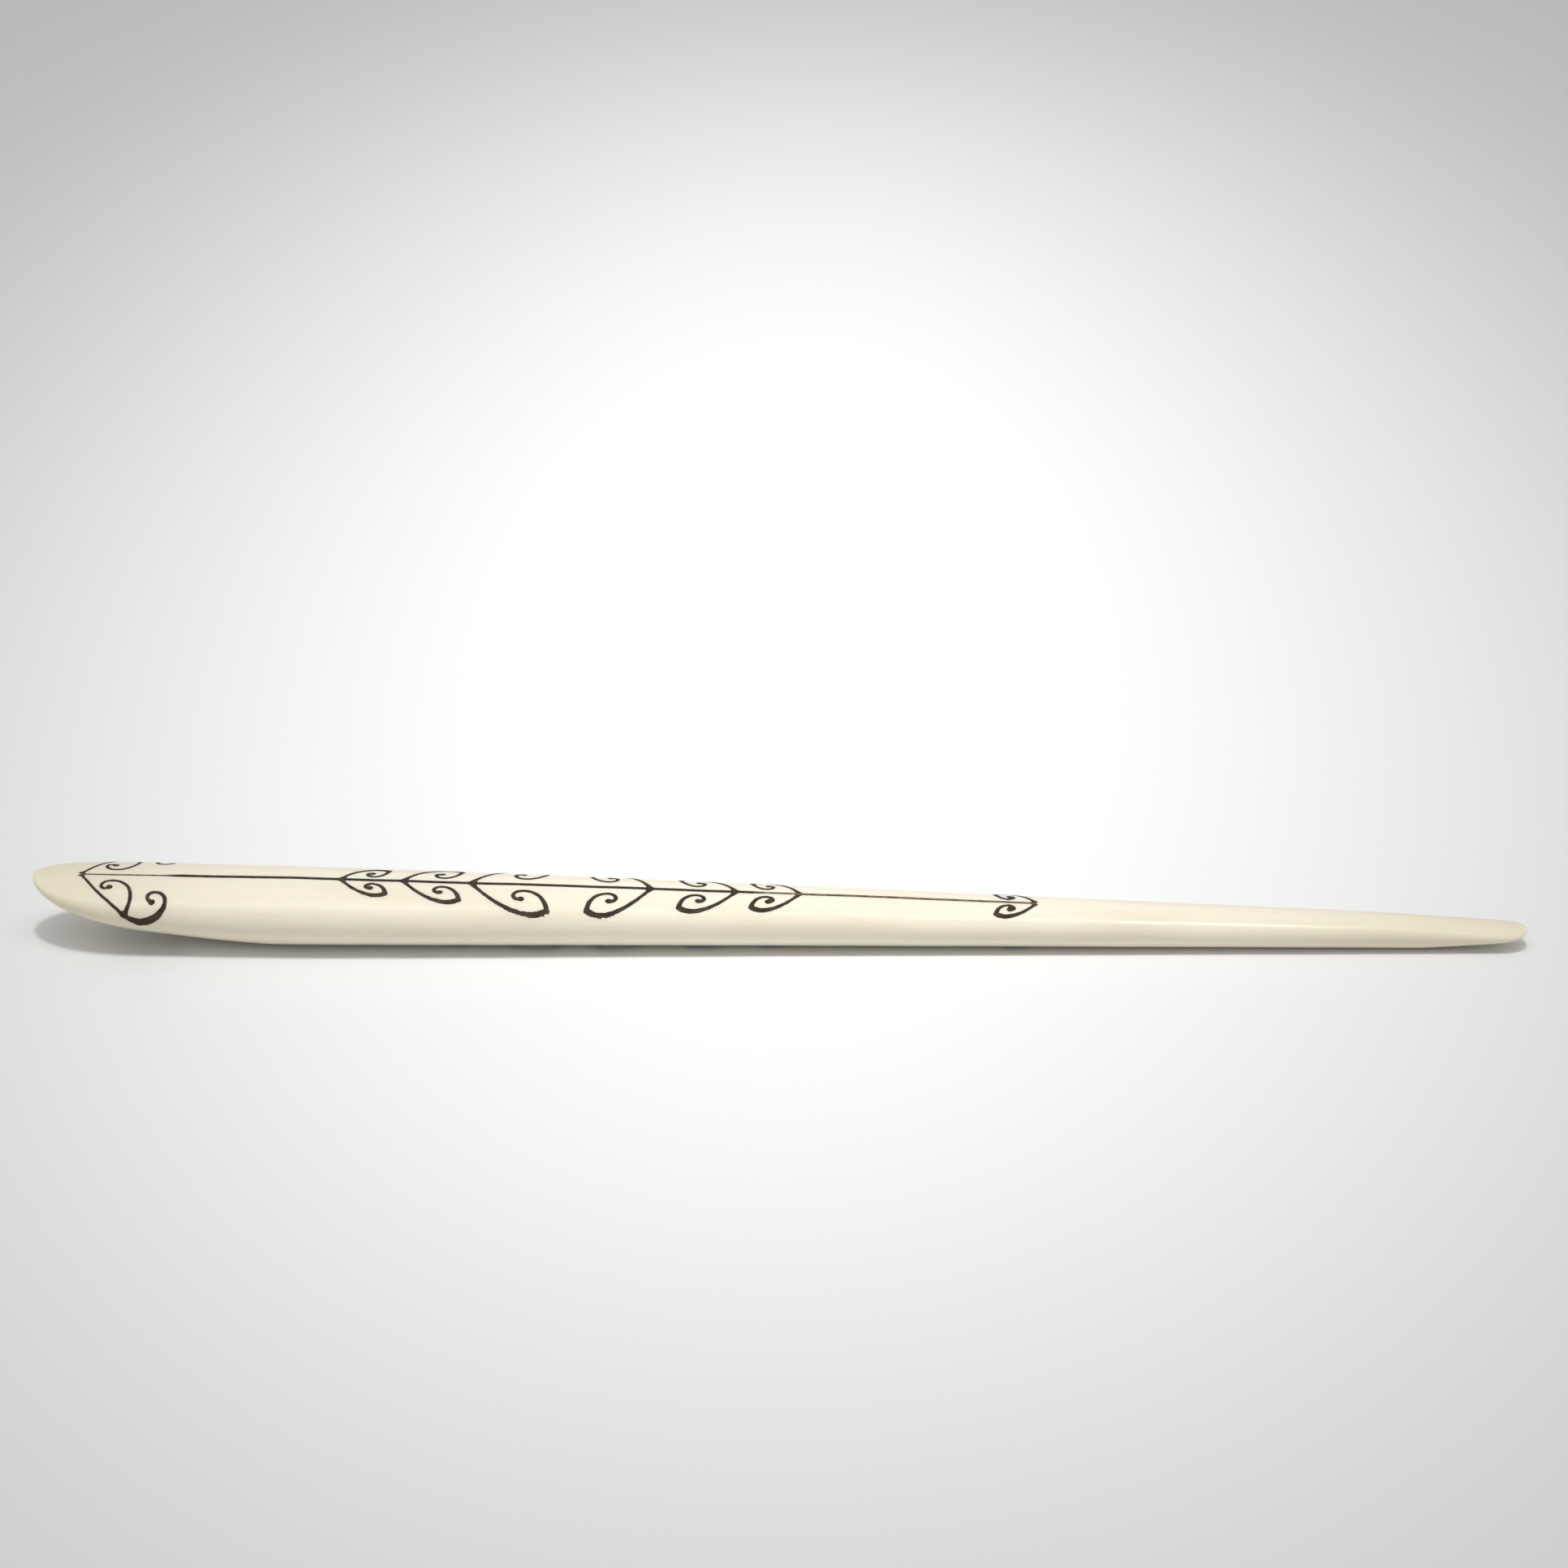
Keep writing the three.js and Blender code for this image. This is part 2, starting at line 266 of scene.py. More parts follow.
# ---- strokes -----------------------------------------------------------------------------------

# A ripple is the sum of this many waves, each with its length times a number in this range.
RIPPLE_WAVES = 7
RIPPLE_SPREAD = (0.7, 1.5)


def curl(first, centre, last_radius, turns, power):
    """A curl from a first point round a centre: it tightens quickly at first, then turns evenly."""
    dx, dy = first[0] - centre[0], first[1] - centre[1]
    part = np.linspace(0, 1, CURL_POINTS)
    radius = last_radius + (math.hypot(dx, dy) - last_radius) * (1 - part) ** power
    angle = math.atan2(dy, dx) - 2 * math.pi * turns * part
    return np.stack([centre[0] + radius * np.cos(angle), centre[1] + radius * np.sin(angle)], axis=1)


def frond_line(start, length, reach, opens):
    part = np.linspace(0, 1, FROND_POINTS, endpoint=False)
    forward = part - FROND_LAG * np.sin(2 * np.pi * part)
    rise = np.stack([length * forward, reach * np.sin(FROND_SWING * np.pi * part)], axis=1)
    size = np.array([length, reach])
    eye = FROND_CURL | {
        "centre": size * FROND_CURL["centre"],
        "last_radius": reach * FROND_CURL["last_radius"],
    }
    line = np.concatenate([rise, curl(size * FROND_CORNER, **eye)])
    return line * [opens, 1] + [start, 0]


def smooth_line(points):
    """Catmull-Rom curve through points."""
    p = np.array(points, float)
    p = np.concatenate([[2 * p[0] - p[1]], p, [2 * p[-1] - p[-2]]])
    t = np.linspace(0, 1, LIMB_STEPS, endpoint=False)[:, None]
    line = []
    for a, b, c, d in zip(p, p[1:], p[2:], p[3:]):
        line.append(
            0.5 * (2 * b + (c - a) * t + (2 * a - 5 * b + 4 * c - d) * t**2 + (3 * b - a - 3 * c + d) * t**3)
        )
    return np.concatenate([*line, p[-2:-1]])


def walked_along(line):
    """Distance along a line to each of its points."""
    return np.concatenate([[0], np.cumsum(np.hypot(*np.diff(line, axis=0).T))])


def stroke_field(x, y, line, half_widths):
    """Signed distance from grid points to a stroke's edge, less than 0 inside it."""
    field = np.full(x.shape, np.inf)
    for (ax, ay), (bx, by), ha, hb in zip(line, line[1:], half_widths, half_widths[1:]):
        dx, dy = bx - ax, by - ay
        t = np.clip(((x - ax) * dx + (y - ay) * dy) / (dx * dx + dy * dy + TINY_AREA), 0, 1)
        distance = np.hypot(x - ax - t * dx, y - ay - t * dy) - (ha + (hb - ha) * t)
        np.minimum(field, distance, out=field)
    return field


def disc_field(x, y, centre, radius):
    return np.hypot(x - centre[0], y - centre[1]) - radius


def joined(a, b, softness):
    """The union of two fields with a fillet between them."""
    h = np.clip(0.5 + 0.5 * (b - a) / softness, 0, 1)
    return b + (a - b) * h - softness * h * (1 - h)


def ripple(x, y, wave_length, rng):
    """Smooth unevenness between about -1 and 1."""
    total = np.zeros(x.shape)
    for _ in range(RIPPLE_WAVES):
        heading, phase = rng.uniform(0, 2 * np.pi, 2)
        k = 2 * np.pi / (wave_length * rng.uniform(*RIPPLE_SPREAD))
        total += np.sin(k * (x * np.cos(heading) + y * np.sin(heading)) + phase)
    return total / math.sqrt(RIPPLE_WAVES)


# ---- figures -----------------------------------------------------------------------------------

GRID_X = np.arange(0, LENGTH, GRID_STEP)
GRID_Y = np.arange(-GRID_REACH, GRID_REACH + GRID_STEP / 2, GRID_STEP)
MARGIN = 0.8
JOIN_SOFTNESS = 0.22
OUT_OF_REACH = 9.0
BULB_SOFTNESS = 0.1
HOOK_SOFTNESS = 0.35
APEX_SOFTNESS = 0.2

# Half width of the midline: (distance from the head's end, half width).
MIDLINE_HALF_WIDTH = [
    (5.2, 0.15),
    (14.5, 0.16),
    (16.0, 0.28),
    (79.5, 0.28),
    (81.5, 0.20),
    (88.0, 0.24),
    (111.0, 0.22),
]
# How far the ink of the midline has faded: (distance from the head's end, share).
MIDLINE_FADE = [
    (5.2, 0.35),
    (14.5, 0.4),
    (16.0, 0.0),
    (79.5, 0.0),
    (81.0, 0.55),
    (85.0, 0.4),
    (88.0, 0.35),
    (112.0, 0.45),
]
EDGE_RIPPLE = 0.014
EDGE_WAVE = 0.9
MIDLINE_RIPPLE_SHARE = 0.5
# The engraver's hand shook more where the side grows steep, this far round, and less so at the head.
STEEP_RIPPLE = 0.06
STEEP_WAVE = 0.42
STEEP_FROM = 3.9
STEEP_FULL = 4.7
HEAD_STEEP_SHARE = 0.25


def table_at(table, at):
    x, y = np.array(table).T
    return np.interp(at, x, y)


def midline_field(x, y):
    half = table_at(MIDLINE_HALF_WIDTH, x)
    beyond = np.maximum(HEAD_APEX - x, x - ARROW["start"])
    return np.maximum(np.abs(y) - half, beyond)


def frond_field(x, y, leaf):
    line = frond_line(**leaf)
    walked = walked_along(line)
    size = BRUSH_SHARE + (1 - BRUSH_SHARE) * leaf["reach"] / LARGEST_REACH
    field = stroke_field(x, y, line, size * table_at(FROND_BRUSH, walked / walked[-1]))
    return joined(field, disc_field(x, y, line[-1], size * BULB_RADIUS), BULB_SOFTNESS)


def head_field(x, y):
    foot = HEAD_LIMB[-2]
    limb = smooth_line(HEAD_LIMB)
    behind = np.concatenate([limb, curl(HEAD_LIMB[-1], **HEAD_CURL_BEHIND)[1:]])
    ahead = curl(foot, **HEAD_CURL_AHEAD)
    main = stroke_field(x, y, behind, table_at(LIMB_BRUSH, walked_along(behind)))
    hook = stroke_field(x, y, ahead, table_at(HOOK_BRUSH, walked_along(ahead)))
    main = joined(main, disc_field(x, y, behind[-1], BULB_RADIUS), BULB_SOFTNESS)
    hook = joined(hook, disc_field(x, y, ahead[-1], BULB_RADIUS), BULB_SOFTNESS)
    apex = disc_field(x, y, **HEAD_APEX_BLOT)
    return joined(joined(main, hook, HOOK_SOFTNESS), apex, APEX_SOFTNESS)


def figures():
    """Name, side and field function of every figure on one face."""
    found = [("midline", 0, None)]
    for side, hand in SIDES.items():
        found.append((f"head_scroll_{side}", hand, head_field))
        for i, leaf in enumerate(LEAVES):
            found.append((f"leaf_{i + 1}_{side}", hand, lambda x, y, leaf=leaf: frond_field(x, y, leaf)))
        found.append((f"arrow_{side}", hand, lambda x, y: frond_field(x, y, ARROW)))
    return found


def extent(name):
    """First and last distance from the head's end that a figure may reach."""
    if name.startswith("midline"):
        return 0, LENGTH
    if name.startswith("head"):
        return HEAD_APEX - MARGIN, HEAD_SCROLL_END + MARGIN
    leaf = ARROW if name.startswith("arrow") else LEAVES[int(name.split("_")[1]) - 1]
    ends = (leaf["start"], leaf["start"] + leaf["opens"] * leaf["length"])
    return min(ends) - MARGIN, max(ends) + MARGIN


def drawn(name, hand, field_of, rng):
    """The rows of the grid that a figure covers, and its field on them."""
    first, last = extent(name)
    rows = slice(int(first / GRID_STEP), min(int(last / GRID_STEP) + 1, len(GRID_X)))
    x, y = np.meshgrid(GRID_X[rows], GRID_Y, indexing="ij")
    rough = EDGE_RIPPLE * ripple(x, y, EDGE_WAVE, rng)
    if hand == 0:
        return rows, midline_field(x, y) + MIDLINE_RIPPLE_SHARE * rough
    steep = np.clip((np.abs(y) - STEEP_FROM) / (STEEP_FULL - STEEP_FROM), 0, 1)
    if name.startswith("head"):
        steep = steep * HEAD_STEEP_SHARE
    rough = rough + STEEP_RIPPLE * steep * ripple(x, y, STEEP_WAVE, rng)
    field = joined(field_of(x, y * hand), midline_field(x, y), JOIN_SOFTNESS) + rough
    # The other side of the middle line, and the line itself, belong to other figures.
    own_side = table_at(MIDLINE_HALF_WIDTH, x) - y * hand
    return rows, np.maximum(field, own_side)


# ---- meshes ------------------------------------------------------------------------------------


def new_object(name, points, faces):
    mesh = bpy.data.meshes.new(name)
    mesh.from_pydata((np.asarray(points) * MM).tolist(), [], [tuple(f) for f in faces])
    mesh.validate()
    mesh.update()
    made = bpy.data.objects.new(name, mesh)
    bpy.context.scene.collection.objects.link(made)
    return made


def kept_cells(field, level):
    """Grid cells that the region below a level touches, without two that meet only at a corner."""
    inside = field < level
    cells = inside[:-1, :-1] | inside[1:, :-1] | inside[:-1, 1:] | inside[1:, 1:]
    while True:
        a, b, c, d = cells[:-1, :-1], cells[1:, :-1], cells[:-1, 1:], cells[1:, 1:]
        pinch = (a & d & ~b & ~c) | (b & c & ~a & ~d)
        if not pinch.any():
            return cells
        for block in (a, b, c, d):
            block |= pinch


def grid_region(field, level):
    """Quads and outline edges of the region of the grid below a level, and its corner points.

    Corners that lie outside the region are moved onto its outline.  Returns flat grid coordinates of
    the corners that are used, the quads and the outline's edges as numbers of those corners, and the
    field at them.
    """
    cells = kept_cells(field, level)
    number = np.arange(field.size).reshape(field.shape)
    corners = [number[:-1, :-1], number[1:, :-1], number[1:, 1:], number[:-1, 1:]]
    quads = np.stack([c[cells] for c in corners], axis=1)
    padded = np.pad(cells, 1)
    neighbours = [padded[1:-1, :-2], padded[2:, 1:-1], padded[1:-1, 2:], padded[:-2, 1:-1]]
    edges = []
    for k, neighbour in enumerate(neighbours):
        open_side = cells & ~neighbour
        edges.append(np.stack([corners[k][open_side], corners[(k + 1) % 4][open_side]], axis=1))
    used, flat = np.unique(quads, return_inverse=True)
    renumber = np.full(field.size, -1)
    renumber[used] = np.arange(len(used))
    gx, gy = np.gradient(field, GRID_STEP)
    gx, gy, value = gx.ravel()[used], gy.ravel()[used], field.ravel()[used]
    over = np.maximum(value - level, 0) / np.maximum(gx**2 + gy**2, LEAST_SLOPE_SQUARED)
    over = np.minimum(over, MOST_STEPS_MOVED * GRID_STEP)
    row, column = np.unravel_index(used, field.shape)
    x = row * GRID_STEP - over * gx
    y = column * GRID_STEP - over * gy
    return x, y, flat.reshape(quads.shape), renumber[np.concatenate(edges)], np.minimum(value, level)


def prism(name, rows, field, level, face, outer, inner):
    """A closed body on a face: the region of the grid below a level, between two depths.

    Also returns how far along the stick each of its corner points lies.
    """
    x, y, quads, edges, value = grid_region(field, level)
    x = x + GRID_X[rows.start]
    y = y + GRID_Y[0]
    count = len(x)
    skin = on_skin(x, y, face, outer(value))
    floor = on_skin(x, y, face, inner)
    faces = [quads, quads[:, ::-1] + count]
    a, b = edges.T
    faces.append(np.stack([a + count, b + count, b, a], axis=1))
    faces = np.concatenate(faces)
    if face["up"] < 0:
        faces = faces[:, ::-1]
    return new_object(name, np.concatenate([skin, floor]), faces), x


def stick():
    """The plain stick as one closed loft."""
    part = np.linspace(0, 1, STATIONS + 1)[1:-1]
    distance = LENGTH * (part - STATION_CROWDING * np.sin(2 * np.pi * part) / (2 * np.pi))
    half_width, half_thickness, middle = section(distance)
    across, up = oval(2 * np.pi * (np.arange(SIDES_ROUND) + 0.5) / SIDES_ROUND)
    rings = np.empty((len(distance), SIDES_ROUND, 3))
    rings[..., 0] = distance[:, None] - LENGTH / 2
    rings[..., 1] = across * half_width[:, None]
    rings[..., 2] = middle[:, None] + up * half_thickness[:, None]
    ends = [(-LENGTH / 2, 0, HEAD_ROUND["height"]), (LENGTH / 2, 0, TIP_ROUND["height"])]
    points = np.concatenate([rings.reshape(-1, 3), ends])
    head, tip = len(points) - 2, len(points) - 1
    faces = []
    last = (len(distance) - 1) * SIDES_ROUND
    for i in range(SIDES_ROUND):
        j = (i + 1) % SIDES_ROUND
        faces.append((head, i, j))
        faces.append((tip, last + j, last + i))
        for first in range(0, last, SIDES_ROUND):
            faces.append((first + j, first + i, first + SIDES_ROUND + i, first + SIDES_ROUND + j))
    return new_object("bone_body_fine", points, faces)


def cut_away(body, cutters):
    """Subtracts closed bodies from a body."""
    for cutter in cutters:
        cut = body.modifiers.new("cut", "BOOLEAN")
        cut.operation = "DIFFERENCE"
        cut.solver = "MANIFOLD"
        cut.object = cutter
    evaluated = body.evaluated_get(bpy.context.evaluated_depsgraph_get())
    mesh = bpy.data.meshes.new_from_object(evaluated)
    body.modifiers.clear()
    body.data = mesh
    for cutter in cutters:
        bpy.data.objects.remove(cutter)


def array_of(collection, attribute, width, kind=float):
    values = np.empty(len(collection) * width, kind)
    collection.foreach_get(attribute, values)
    return values.reshape(-1, width) if width > 1 else values


def smooth_skin(body):
    """Gives the skin the exact normals of the stick, and leaves the grooves' walls and floors flat."""
    mesh = body.data
    points = array_of(mesh.vertices, "co", 3) / MM
    slope = skin_slope(points)
    normals = unit(slope)
    steepness = np.maximum(np.linalg.norm(slope, axis=1), TINY_LENGTH)
    near_end = np.abs(points[:, 0]) > LENGTH / 2 - END_CAP
    normals[near_end] = np.sign(points[near_end, :1]) * [1, 0, 0]
    is_skin = (np.abs(fullness(points) - 1) / steepness < ON_SKIN) | near_end
    corner_vertex = array_of(mesh.loops, "vertex_index", 1, int)
    starts = array_of(mesh.polygons, "loop_start", 1, int)
    totals = array_of(mesh.polygons, "loop_total", 1, int)
    skin_faces = np.minimum.reduceat(is_skin[corner_vertex].astype(int), starts).astype(bool)
    face_normals = array_of(mesh.polygons, "normal", 3)
    of_face = np.repeat(np.arange(len(totals)), totals)
    chosen = np.where(skin_faces[of_face][:, None], normals[corner_vertex], face_normals[of_face])
    mesh.polygons.foreach_set("use_smooth", np.ones(len(totals), bool))
    mesh.normals_split_custom_set(chosen.tolist())


def smooth_by_angle(piece, angle):
    mesh = piece.data
    mesh.polygons.foreach_set("use_smooth", np.ones(len(mesh.polygons), bool))
    mesh.set_sharp_from_angle(angle=angle)


# ---- materials ---------------------------------------------------------------------------------


class Nodes:
    """Short ways to add nodes to a new material."""

    def __init__(self, name):
        self.material = bpy.data.materials.new(name)
        self.material.use_nodes = True
        self.tree = self.material.node_tree
        self.shader = self.tree.nodes["Principled BSDF"]

    def add(self, kind, inputs=None, **settings):
        node = self.tree.nodes.new(kind)
        for key, value in settings.items():
            setattr(node, key, value)
        for key, value in (inputs or {}).items():
            if isinstance(value, bpy.types.NodeSocket):
                self.tree.links.new(value, node.inputs[key])
            else:
                node.inputs[key].default_value = value
        return node

    def set(self, **values):
        for key, value in values.items():
            name = key.replace("_", " ")
            if isinstance(value, bpy.types.NodeSocket):
                self.tree.links.new(value, self.shader.inputs[name])
            else:
                self.shader.inputs[name].default_value = value

    def coordinates(self, scale):
        source = self.add("ShaderNodeTexCoord")
        return self.add("ShaderNodeMapping", {"Vector": source.outputs["Object"], "Scale": scale}).outputs[0]

    def noise(self, scale, detail=3.0, roughness=0.5, distortion=0.0):
        inputs = {
            "Vector": self.coordinates(scale),
            "Scale": 1.0,
            "Detail": detail,
            "Roughness": roughness,
            "Distortion": distortion,
        }
        return self.add("ShaderNodeTexNoise", inputs).outputs["Fac"]

    def ranged(self, value, low, high, to_low=0.0, to_high=1.0):
        inputs = {"Value": value, "From Min": low, "From Max": high, "To Min": to_low, "To Max": to_high}
        return self.add("ShaderNodeMapRange", inputs, interpolation_type="SMOOTHSTEP").outputs[0]

    def math(self, operation, a, b):
        return self.add("ShaderNodeMath", {0: a, 1: b}, operation=operation).outputs[0]

    def mixed(self, share, a, b):
        """Colour a where the share is 0, and b where it is 1."""
        node = self.add("ShaderNodeMix", {"Factor": share}, data_type="RGBA")
        for socket, value in ((node.inputs[6], a), (node.inputs[7], b)):
            if isinstance(value, bpy.types.NodeSocket):
                self.tree.links.new(value, socket)
            else:
                socket.default_value = (*value, 1)
        return node.outputs[2]

    def bump(self, height, distance, strength=1.0):
        inputs = {"Height": height, "Distance": distance, "Strength": strength}
        return self.add("ShaderNodeBump", inputs).outputs[0]


BONE_LIGHT = (0.92, 0.85, 0.69)
BONE_GRAIN = (0.80, 0.72, 0.56)
BONE_TIP = (0.80, 0.73, 0.50)
BONE_PORE = (0.55, 0.44, 0.30)

# Noise scales along, across and through the stick, in cycles per metre.
GRAIN_BROAD = (45, 420, 420)
GRAIN_STREAKS = (110, 2300, 2300)
PORE_CELLS = (380, 2600, 2600)
PORE_PATCHES = (60, 500, 500)
GLOSS_PATCHES = (150, 900, 900)
SCRATCHES = (260, 5200, 5200)
UNDULATION = (90, 260, 260)
# The ends are yellower: where the tint starts, where it is full, in metres, and how strong it is.
HEAD_TINT = (-0.062, -0.082, 0.5)
TIP_TINT = (0.045, 0.080, 0.35)
BROAD_SHARE = 0.55
STREAK_SHARE = 0.4
PORE_SHARE = 0.5
SCRATCH_HEIGHT = 0.12
PORE_DEPTH = 0.4
BONE_RELIEF = 0.00003


def bone_material():
    n = Nodes("bone_polished")
    broad = n.noise(GRAIN_BROAD, detail=3)
    streaks = n.noise(GRAIN_STREAKS, detail=4, roughness=0.6)
    colour = n.mixed(n.ranged(broad, 0.35, 0.75, 0.0, BROAD_SHARE), BONE_LIGHT, BONE_GRAIN)
    colour = n.mixed(n.ranged(streaks, 0.5, 0.85, 0.0, STREAK_SHARE), colour, BONE_GRAIN)
    place = n.add("ShaderNodeSeparateXYZ", {0: n.coordinates((1, 1, 1))}).outputs[0]
    head, tip = (n.ranged(place, start, full, 0.0, share) for start, full, share in (HEAD_TINT, TIP_TINT))
    colour = n.mixed(n.math("ADD", head, tip), colour, BONE_TIP)
    cells = n.add(
        "ShaderNodeTexVoronoi",
        {"Vector": n.coordinates(PORE_CELLS), "Scale": 1.0, "Randomness": 1.0},
        feature="F1",
    ).outputs["Distance"]
    pores = n.ranged(cells, 0.16, 0.05)
    patches = n.ranged(n.noise(PORE_PATCHES, detail=2), 0.55, 0.7)
    pores = n.math("MULTIPLY", pores, n.math("MULTIPLY", patches, PORE_SHARE))
    colour = n.mixed(pores, colour, BONE_PORE)
    n.set(Base_Color=colour)
    n.set(Roughness=n.ranged(n.noise(GLOSS_PATCHES, detail=4), 0.3, 0.8, 0.2, 0.3))
    n.set(Subsurface_Weight=0.3, Subsurface_Radius=(1.0, 0.62, 0.36), Subsurface_Scale=0.0012)
    n.set(IOR=1.54, Coat_Weight=0.35, Coat_Roughness=0.08)
    scratches = n.noise(SCRATCHES, detail=3)
    undulation = n.noise(UNDULATION, detail=1)
    height = n.math("ADD", n.math("MULTIPLY", scratches, SCRATCH_HEIGHT), undulation)
    height = n.math("SUBTRACT", height, n.math("MULTIPLY", pores, PORE_DEPTH))
    n.set(Normal=n.bump(height, BONE_RELIEF))
    return n.material


INK_DARK = (0.028, 0.021, 0.015)
INK_BROWN = (0.066, 0.047, 0.031)
INK_FADED = (0.32, 0.22, 0.13)
INK_MOTTLING = (900, 900, 900)
INK_SHEEN = (1500, 1500, 1500)
INK_GRAIN = (5000, 5000, 5000)
INK_RELIEF = 0.00002


def ink_material():
    n = Nodes("ink_fill")
    mottled = n.noise(INK_MOTTLING, detail=4)
    colour = n.mixed(n.ranged(mottled, 0.35, 0.75), INK_DARK, INK_BROWN)
    fade = n.add("ShaderNodeAttribute", attribute_name="fade").outputs["Fac"]
    colour = n.mixed(fade, colour, INK_FADED)
    n.set(Base_Color=colour)
    n.set(Roughness=n.ranged(n.noise(INK_SHEEN), 0.3, 0.7, 0.6, 0.8), Specular_IOR_Level=0.2)
    n.set(Normal=n.bump(n.noise(INK_GRAIN, detail=3), INK_RELIEF))
    return n.material


# ---- making the pieces -------------------------------------------------------------------------


# Fading of the ink: how strongly it is speckled, over which wave length, and off the midline.
SPECKLE_WAVE = 1.3
SPECKLE_SHARE = 0.5
ORNAMENT_FADE = 0.04


def add_fade(piece, distance, is_midline, rng):
    """How far the ink has faded at each corner point of an ink piece."""
    speckle = np.clip(ripple(distance, distance * 0, SPECKLE_WAVE, rng), -1, 1)
    base = table_at(MIDLINE_FADE, distance) if is_midline else np.full(distance.shape, ORNAMENT_FADE)
    fade = np.clip(base * (1 + SPECKLE_SHARE * speckle), 0, 1)
    attribute = piece.data.attributes.new("fade", "FLOAT", "POINT")
    attribute.data.foreach_set("value", np.concatenate([fade, fade]).astype(np.float32))


def ink_outer(value):
    middle = np.clip(-value / INK_DIP_WIDTH, 0, 1)
    return INK_RIM_DEPTH + INK_DIP * middle * middle * (3 - 2 * middle)


def cutter_outer(value):
    return np.full(value.shape, -CUTTER_RISE)


def engrave(body, bone, ink):
    rng = np.random.default_rng(RANDOM_SEED)
    cutters = []
    for face_name, face in FACES.items():
        whole = np.full((len(GRID_X), len(GRID_Y)), OUT_OF_REACH)
        for figure, hand, field_of in figures():
            rows, field = drawn(figure, hand, field_of, rng)
            whole[rows] = np.minimum(whole[rows], field)
            node = f"{face_name}_{figure}"
            piece, distance = prism(f"{node}_fine", rows, field, -INK_GAP, face, ink_outer, INK_FLOOR)
            add_fade(piece, distance, hand == 0, rng)
            smooth_by_angle(piece, INK_SHARP_ANGLE)
            piece.data.materials.append(ink)
            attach(piece, "root")
            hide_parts(node)
        everywhere = slice(0, len(GRID_X))
        cutter, _ = prism(f"{face_name}_cutter", everywhere, whole, 0.0, face, cutter_outer, GROOVE_DEPTH)
        cutters.append(cutter)
    cut_away(body, cutters)
    smooth_skin(body)
    body.data.materials.clear()
    body.data.materials.append(bone)


def bone_folder():
    body = stick()
    engrave(body, bone_material(), ink_material())
    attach(body, "root")
    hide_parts("bone_body")


# ---- studio ------------------------------------------------------------------------------------

CAMERA_DISTANCE = 0.493
CAMERA_ELEVATION = math.radians(29.5)
CAMERA_YAW = math.radians(1.15)
CAMERA_PITCH = math.radians(27.53)
CAMERA_LENS = 102
CAMERA_SENSOR = 36
CAMERA_CLIP = (0.01, 20)
# The camera stands this far to the right of the line to the middle of the stick.
CAMERA_SIDE = 0.0005


def camera():
    data = bpy.data.cameras.new("camera")
    data.lens = CAMERA_LENS
    data.sensor_width = CAMERA_SENSOR
    data.clip_start, data.clip_end = CAMERA_CLIP
    made = bpy.data.objects.new("camera", data)
    flat = CAMERA_DISTANCE * math.cos(CAMERA_ELEVATION)
    made.location = (
        flat * math.sin(CAMERA_YAW) + CAMERA_SIDE * math.cos(CAMERA_YAW),
        -flat * math.cos(CAMERA_YAW) + CAMERA_SIDE * math.sin(CAMERA_YAW),
        CAMERA_DISTANCE * math.sin(CAMERA_ELEVATION),
    )
    made.rotation_euler = (math.pi / 2 - CAMERA_PITCH, 0, CAMERA_YAW)
    bpy.context.scene.collection.objects.link(made)
    bpy.context.scene.camera = made


def aimed(name, data, location, target):
    """Places a light so that it points at a target."""
    made = bpy.data.objects.new(name, data)
    made.location = location
    made.rotation_euler = (Vector(target) - Vector(location)).to_track_quat("-Z", "Y").to_euler()
    bpy.context.scene.collection.objects.link(made)
    return made


def area_light(name, location, target, size, power, diffuse, glossy):
    data = bpy.data.lights.new(name, "AREA")
    data.shape = "RECTANGLE"
    data.size, data.size_y = size
    data.energy = power
    made = aimed(name, data, location, target)
    made.visible_diffuse = diffuse
    made.visible_glossy = glossy


def spot_light(name, location, target, cone, radius, power, stretch):
    """A soft round light whose pool on the floor is an oval, longer by the stretch from front to back."""
    data = bpy.data.lights.new(name, "SPOT")
    data.energy = power
    data.shadow_soft_size = radius
    data.spot_size = math.radians(cone)
    data.spot_blend = 1.0
    made = aimed(name, data, location, target)
    made.scale = (1, stretch, 1)
    made.visible_glossy = False


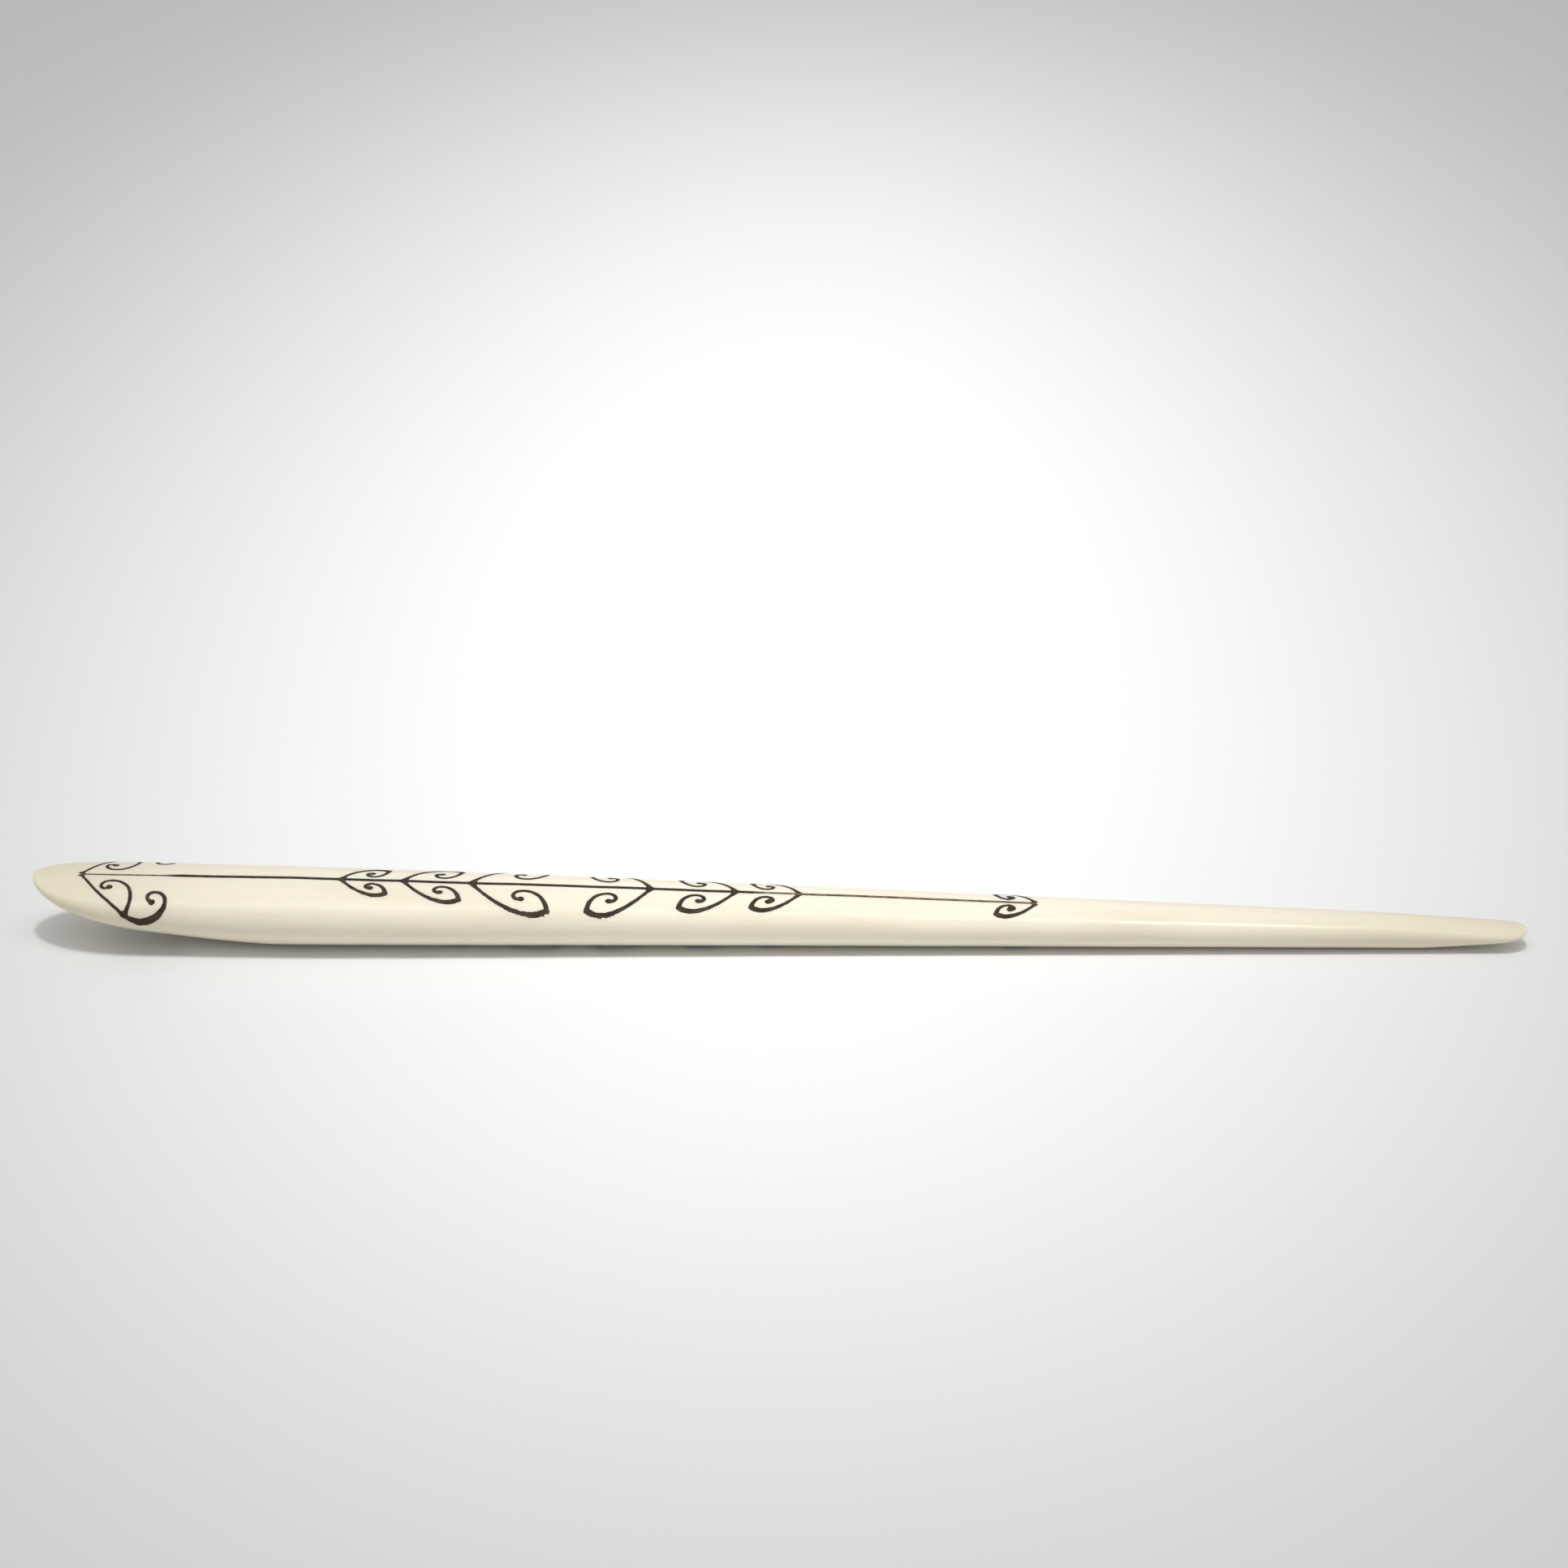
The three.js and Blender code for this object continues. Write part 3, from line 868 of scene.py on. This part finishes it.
# Metres and watts.  The strip lights the scene without being mirrored, and the band and the kicker are
# only mirrored: the band in the stick's long highlight and the kicker in the bright patch that ends it.
AREA_LIGHTS = [
    {
        "name": "strip",
        "location": (0.0, -0.03, 0.7),
        "target": (0.0, -0.01, 0.0),
        "size": (0.9, 0.2),
        "power": 1.12,
        "diffuse": True,
        "glossy": False,
    },
    {
        "name": "band",
        "location": (-0.145, -0.03, 0.7),
        "target": (-0.145, -0.01, 0.0),
        "size": (0.61, 0.15),
        "power": 0.72,
        "diffuse": False,
        "glossy": True,
    },
    {
        "name": "kicker",
        "location": (0.150, -0.03, 0.71),
        "target": (0.150, -0.01, 0.0),
        "size": (0.04, 0.15),
        "power": 0.14,
        "diffuse": False,
        "glossy": True,
    },
]
# The bright pool on the floor behind the stick.
POOL_LIGHT = {
    "name": "pool",
    "location": (0.0, -0.03, 0.8),
    "target": (0.0, 0.105, 0.0),
    "cone": 16.5,
    "radius": 0.08,
    "power": 21.0,
    "stretch": 2.5,
}
WORLD_COLOUR = (0.98, 0.99, 1.0, 1)
WORLD_STRENGTH = 0.46

FLOOR_SIZE = 2.5
FLOOR_GAP = 0.00002
FLOOR_COLOUR = (0.86, 0.86, 0.86, 1)
FLOOR_PATCHES = (30, 30, 30)


def floor_material():
    n = Nodes("floor_white")
    n.set(Base_Color=FLOOR_COLOUR, IOR=1.5)
    n.set(Roughness=n.ranged(n.noise(FLOOR_PATCHES), 0.3, 0.7, 0.14, 0.18))
    return n.material


def add_floor():
    mesh = bpy.data.meshes.new("floor")
    s = FLOOR_SIZE
    z = -FLOOR_GAP
    mesh.from_pydata([(-s, -s, z), (s, -s, z), (s, s, z), (-s, s, z)], [], [(0, 1, 2, 3)])
    floor = bpy.data.objects.new("floor", mesh)
    floor.data.materials.append(floor_material())
    bpy.context.scene.collection.objects.link(floor)


def add_world():
    world = bpy.data.worlds.new("studio")
    bpy.context.scene.world = world
    world.use_nodes = True
    background = world.node_tree.nodes["Background"]
    background.inputs["Color"].default_value = WORLD_COLOUR
    background.inputs["Strength"].default_value = WORLD_STRENGTH


def studio():
    add_floor()
    add_world()
    for light in AREA_LIGHTS:
        area_light(**light)
    spot_light(**POOL_LIGHT)
    bpy.context.scene.view_settings.view_transform = "Standard"
    camera()


bone_folder()
studio()
